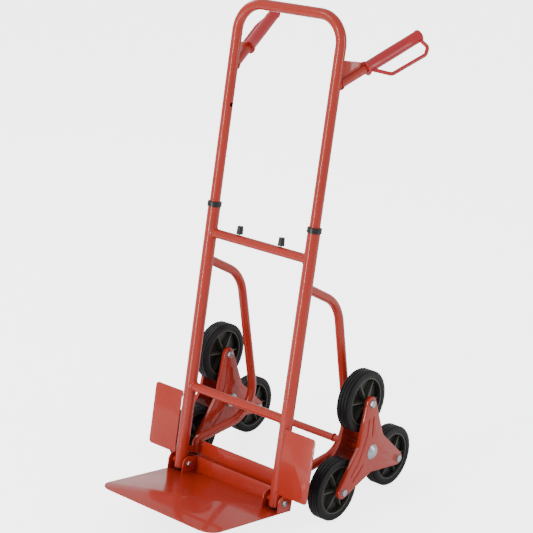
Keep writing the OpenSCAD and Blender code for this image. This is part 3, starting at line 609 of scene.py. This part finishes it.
ear_r, ear_foot, ear_back = 19, toe_t - 0.5, upstand_y + toe_t
ear = arc(0, hinge_z, ear_r, 180, 60, 12) + [(ear_back, upstand_h), (ear_back, ear_foot), (-ear_r, ear_foot)]
tie_half = ear_half + 1
tie = [(-tie_half, 2), (tie_half, 2), (tie_half, upstand_h), (-tie_half, upstand_h)]
for side, word in ((-1, "left"), (1, "right")):
    bm = bmesh.new()
    for x in (-ear_half - toe_t, ear_half):
        sheet_plate(bm, ear, toe_t, Matrix.Translation((side * half + x, 0, 0)) @ SIDE_ON, edge=0.7)
    sheet_plate(bm, tie, toe_t,
                Matrix.Translation((side * half, ear_back, 0)) @ Matrix.Rotation(pi / 2, 4, "X"))
    finished_piece(f"hinge_bracket_sheet_{word}", bm, red_coat, "toe", "red_paint", f"hinge_bracket_{word}")

# ---- Bolts and nuts ---------------------------------------------------------
# Zinc-plated hexagon bolts with chamfered heads, each on a thin washer face, with nylon-topped nuts.


def hexagon(bm, centre, way, across, height):
    """A bolt head or nut that rises along way from centre, with its outer corners chamfered."""
    old = set(bm.verts)
    turned(bm, [(0.01, 0), (across * 0.5, 0), (across * 0.5, 0.5), (0.01, 0.5)], (0, 0, 0), (0, 0, 1),
           steps=36)
    made = bmesh.ops.create_cone(bm, cap_ends=True, segments=6, radius1=across / 2, radius2=across / 2,
                                 depth=height)["verts"]
    bmesh.ops.translate(bm, verts=made, vec=(0, 0, height / 2 + 0.4))
    rims = [e for e in {e for v in made for e in v.link_edges} if min(v.co.z for v in e.verts) > height / 2]
    bmesh.ops.bevel(bm, geom=rims, offset=height * 0.18, offset_type="OFFSET", segments=2, profile=0.5,
                    affect="EDGES", material=-1)
    verts = [v for v in bm.verts if v not in old]
    bmesh.ops.transform(bm, verts=verts, matrix=raised_from(centre, way))


def shank(bm, start, end, radius):
    way = Vector(end) - Vector(start)
    turned(bm, [(0.01, 0), (radius - 0.4, 0), (radius, 0.4), (radius, way.length), (0.01, way.length)],
           Vector(start), way, steps=32)


ear_face = ear_half + toe_t
hinge_hex, hinge_shank_r, hinge_past, hinge_head_h, hinge_nut_h = 14.6, 4.0, 8.5, 5.0, 6.0
bm_bolts, bm_nuts = bmesh.new(), bmesh.new()
for side in (-1, 1):
    x = side * half
    hexagon(bm_bolts, (x + ear_face, 0, hinge_z), (1, 0, 0), hinge_hex, hinge_head_h)
    shank(bm_bolts, (x - ear_face - hinge_past, 0, hinge_z), (x + ear_face, 0, hinge_z), hinge_shank_r)
    hexagon(bm_nuts, (x - ear_face, 0, hinge_z), (-1, 0, 0), hinge_hex, hinge_nut_h)
finished_piece("hinge_bolt_heads", bm_bolts, zinc_plate, "toe", "zinc", "hinge_bolts", sharp=25)
finished_piece("hinge_locknuts", bm_nuts, zinc_plate, "toe", "zinc", "hinge_nuts", sharp=25)

# ---- Stars ------------------------------------------------------------------
# Two pressed steel plates on each side, with turned-in edges and a raised panel that forks into two
# ridges on every arm, bolted together through the three wheels. They turn on the axle's end.
star_r, star_tip, star_neck, star_fillet = 125.0, 17.0, 55.0, 12.0
plate_out, star_t, star_flange, rib_rise = 33.0, 2.5, 10.0, 2.0
panel_sink, ridge_round = 1.0, 1.8
wheel_hex, wheel_shank_r, wheel_past, wheel_head_h = 18.5, 5.0, 7.5, 5.0


def star_outline(inset):
    tip, fillet, neck = star_tip - inset, star_fillet + inset, star_neck - inset
    gap = (neck + fillet) * Vector((cos(pi / 3), sin(pi / 3))) - Vector((star_r, 0))
    edge = degrees(atan2(gap.y, gap.x) - acos((tip + fillet) / gap.length))
    points = []
    for arm in (90, 210, 330):
        a = radians(arm)
        points += arc(star_r * cos(a), star_r * sin(a), tip, arm - edge, arm + edge, 16)
        b = a + pi / 3
        points += arc((neck + fillet) * cos(b), (neck + fillet) * sin(b), fillet, arm + edge + 180,
                      arm + 300 - edge, 5)
    return points


def raised_panel():
    """The pressed panel: round the hub, and out along each arm in two prongs with a notch between."""
    shape = [(17.5, 52), (12, 84), (8.5, 89), (5, 84), (4.2, 60), (0, 38), (-4.2, 60), (-5, 84),
             (-8.5, 89), (-12, 84), (-17.5, 52)]
    points = []
    for arm in (0, 120, 240):
        a = radians(arm)
        points += [(u * cos(a) - v * sin(a), u * sin(a) + v * cos(a)) for u, v in shape]
        b = a + pi / 2 + pi / 3
        points.append((40 * cos(b), 40 * sin(b)))
    return points


for side, word in ((-1, "left"), (1, "right")):
    centre = joint_at[f"star_{word}_turn"] / MM
    for out, layer in ((1, "outer"), (-1, "inner")):
        bm = bmesh.new()
        # +Z of the plate's own frame points away from the wheels
        facing = Matrix(((0, 0, side * out, 0), (1, 0, 0, 0), (0, 1, 0, 0), (0, 0, 0, 1)))
        place = Matrix.Translation(centre) @ facing @ Matrix.Translation((0, 0, plate_out))
        loop = [bm.verts.new((x, y, -star_flange)) for x, y in star_outline(0)]
        rims = [bm.edges.new((a, b)) for a, b in zip(loop, loop[1:] + loop[:1])]
        wall_steps = [(0, star_flange - 2.4), (0.5, 1.2), (1.3, 0.8), (2.6, 0.4)]
        rise = -star_flange
        for inset, lift in wall_steps:
            made = bmesh.ops.extrude_edge_only(bm, edges=rims)["geom"]
            ring = verts_in(made)
            rims = edges_in(made)
            rise += lift
            targets = star_outline(inset)
            for v in ring:
                at = min(range(len(targets)), key=lambda i: (Vector(targets[i]) - v.co.xy).length)
                v.co = Vector((*targets[at], rise))
        bmesh.ops.contextual_create(bm, geom=rims)
        skin = bm.faces[:]
        bmesh.ops.recalc_face_normals(bm, faces=skin)
        bmesh.ops.solidify(bm, geom=skin, thickness=star_t - 0.6)
        panel = [bm.verts.new((x, y, -panel_sink)) for x, y in raised_panel()]
        face = bm.faces.new(panel)
        made = bmesh.ops.extrude_face_region(bm, geom=[face])["geom"]
        top = verts_in(made)
        bmesh.ops.translate(bm, verts=top, vec=(0, 0, panel_sink + rib_rise))
        ridge = [e for e in {e for v in top for e in v.link_edges} if all(u in top for u in e.verts)]
        bmesh.ops.bevel(bm, geom=ridge, offset=ridge_round, offset_type="OFFSET", segments=4, profile=0.5,
                        affect="EDGES", material=-1)
        bmesh.ops.transform(bm, verts=bm.verts, matrix=place)
        finished_piece(f"star_{word}_{layer}_pressing", bm, red_coat, f"star_{word}", "red_paint",
                       f"star_{word}_{layer}_plate", sharp=28, leaned=False)
    bm_bolts, bm_nuts = bmesh.new(), bmesh.new()
    for arm in (90, 210, 330):
        y, z = centre.y + star_r * cos(radians(arm)), centre.z + star_r * sin(radians(arm))
        face_out, face_in = centre.x + side * plate_out, centre.x - side * plate_out
        hexagon(bm_bolts, (face_out, y, z), (side, 0, 0), wheel_hex, wheel_head_h)
        shank(bm_bolts, (face_in - side * wheel_past, y, z), (face_out, y, z), wheel_shank_r)
        hexagon(bm_nuts, (face_in, y, z), (-side, 0, 0), wheel_hex, wheel_head_h)
    finished_piece(f"star_{word}_bolt_heads", bm_bolts, zinc_plate, f"star_{word}", "zinc",
                   f"star_{word}_bolts", sharp=25, leaned=False)
    finished_piece(f"star_{word}_locknuts", bm_nuts, zinc_plate, f"star_{word}", "zinc",
                   f"star_{word}_nuts", sharp=25, leaned=False)
    repaint(black_plastic, f"star_{word}_spacers")

# Bright domed caps are pushed on the axle's ends
cap_r, cap_h, cap_bore, cap_out = 19.0, 9.0, 9.1, 35.3
dome_r = (cap_r ** 2 + cap_h ** 2) / (2 * cap_h)
spread = degrees(asin(cap_r / dome_r))
cap_profile = ([(cap_bore, 0), (18.4, 0), (cap_r, 0.3)]
               + arc(0, cap_h - dome_r, dome_r, 90 - spread, 89.9, 14)[1:] + [(0.01, 7.5), (cap_bore, 4.5)])
bm = bmesh.new()
for side, word in ((-1, "left"), (1, "right")):
    hub = stand.inverted() @ joint_at[f"star_{word}_turn"] / MM
    turned(bm, cap_profile, (hub.x + side * cap_out, axle_y, axle_z), (side, 0, 0), steps=72)
finished_piece("axle_domes", bm, zinc_plate, "frame", "zinc", "axle_caps", sharp=40)

# ---- Wheels -----------------------------------------------------------------
# Solid rubber tyres with four thin grooves round the tread, on dark plastic rims that have a hub,
# a disc and six spokes, thin at the rim and thick at the hub.
tyre_rubber = mottled_finish("tyre_rubber", (0.005, 0.005, 0.0062), (0.011, 0.011, 0.012), 0.6, (0.4, 0.55),
                             0.00012, specular=0.22)
rim_plastic = mottled_finish("rim_plastic", (0.008, 0.008, 0.0078), (0.02, 0.02, 0.017), 0.8, (0.32, 0.48),
                             0.00008)
spoke_plastic = mottled_finish("spoke_plastic", (0.035, 0.034, 0.028), (0.07, 0.068, 0.055), 0.8,
                               (0.3, 0.42), 0.00006)
wheel_r, rim_r, half_tyre, half_rim, half_hub, hub_r = 75.0, 58.0, 17.5, 15.5, 23.0, 14.0
groove_pitch, groove_depth = 8.0, 2.5
bore_r, disc_half, rim_inner = 5.06, 2, 52.5
spokes, spoke_turn = 6, 20
hub_end, spoke_end = (6, 4.2), (53.5, 1.3)
shoulder = [(rim_r, -half_rim), (rim_r + 1.5, -half_tyre + 1), (rim_r + 4, -half_tyre), (68, -half_tyre),
            (69, -half_tyre + 0.5), (71.5, -half_tyre + 0.8), (73.6, -half_tyre + 1.8),
            (74.6, -half_tyre + 3.2)]
groove = [(0, -1.3), (0.5, -0.9), (groove_depth, -0.5), (groove_depth, 0.5), (0.5, 0.9), (0, 1.3)]
tyre_profile = shoulder[:]
for i in range(4):
    z = (i - 1.5) * groove_pitch
    tyre_profile += [(wheel_r - depth, z + across) for depth, across in groove]
tyre_profile += [(r, -z) for r, z in shoulder[::-1]]
half_rim_profile = [(hub_r, -disc_half), (rim_inner, -disc_half), (54.4, -half_rim + 1), (55, -half_rim),
                    (57.6, -half_rim), (58, -half_rim + 0.5)]
rim_profile = half_rim_profile + [(r, -z) for r, z in half_rim_profile[::-1]]
half_hub_profile = [(bore_r, -half_hub), (hub_r - 4, -half_hub), (hub_r - 3, -half_hub + 1), (hub_r, -4)]
hub_profile = half_hub_profile + [(r, -z) for r, z in half_hub_profile[::-1]]
lip_profile = [(55.2, 0), (57.9, 0), (57.7, 0.5), (55.6, 0.5)]
for side, word in ((-1, "left"), (1, "right")):
    for place in ("top", "front", "rear"):
        centre = joint_at[f"wheel_{word}_{place}_turn"] / MM
        body = f"wheel_{word}_{place}"
        bm = bmesh.new()
        turned(bm, tyre_profile, centre, (1, 0, 0), steps=96)
        finished_piece(f"tyre_ring_{word}_{place}", bm, tyre_rubber, body, "tyre", f"tyre_{word}_{place}",
                       leaned=False)
        bm = bmesh.new()
        turned(bm, rim_profile, (0, 0, 0), (0, 0, 1), steps=96)
        turned(bm, hub_profile, (0, 0, 0), (0, 0, 1), steps=64)
        around_wheel = Matrix.Translation(centre) @ Matrix.Rotation(pi / 2, 4, "Y")
        bmesh.ops.transform(bm, verts=bm.verts, matrix=around_wheel)
        finished_piece(f"rim_disc_{word}_{place}", bm, rim_plastic, body, "rim_grey", f"rim_{word}_{place}",
                       leaned=False)
        bm = bmesh.new()
        for face in (-1, 1):
            turned(bm, lip_profile, (0, 0, face * half_rim), (0, 0, face), steps=96)
            for spoke in range(spokes):
                old = set(bm.verts)
                corners = ((hub_end[0], -hub_end[1]), (spoke_end[0], -spoke_end[1]), spoke_end, hub_end)
                base = bm.faces.new([bm.verts.new((x, y, face * disc_half)) for x, y in corners])
                made = bmesh.ops.extrude_face_region(bm, geom=[base])["geom"]
                for v in verts_in(made):
                    v.co.z = face * (16 if v.co.x < 20 else 10.5)
                    v.co.y *= 0.72
                new = [v for v in bm.verts if v not in old]
                turn = Matrix.Rotation(radians(360 / spokes * spoke + spoke_turn), 4, "Z")
                bmesh.ops.transform(bm, verts=new, matrix=turn)
        bmesh.ops.transform(bm, verts=bm.verts, matrix=around_wheel)
        finished_piece(f"rim_spokes_{word}_{place}", bm, spoke_plastic, body, "rim_grey", leaned=False)
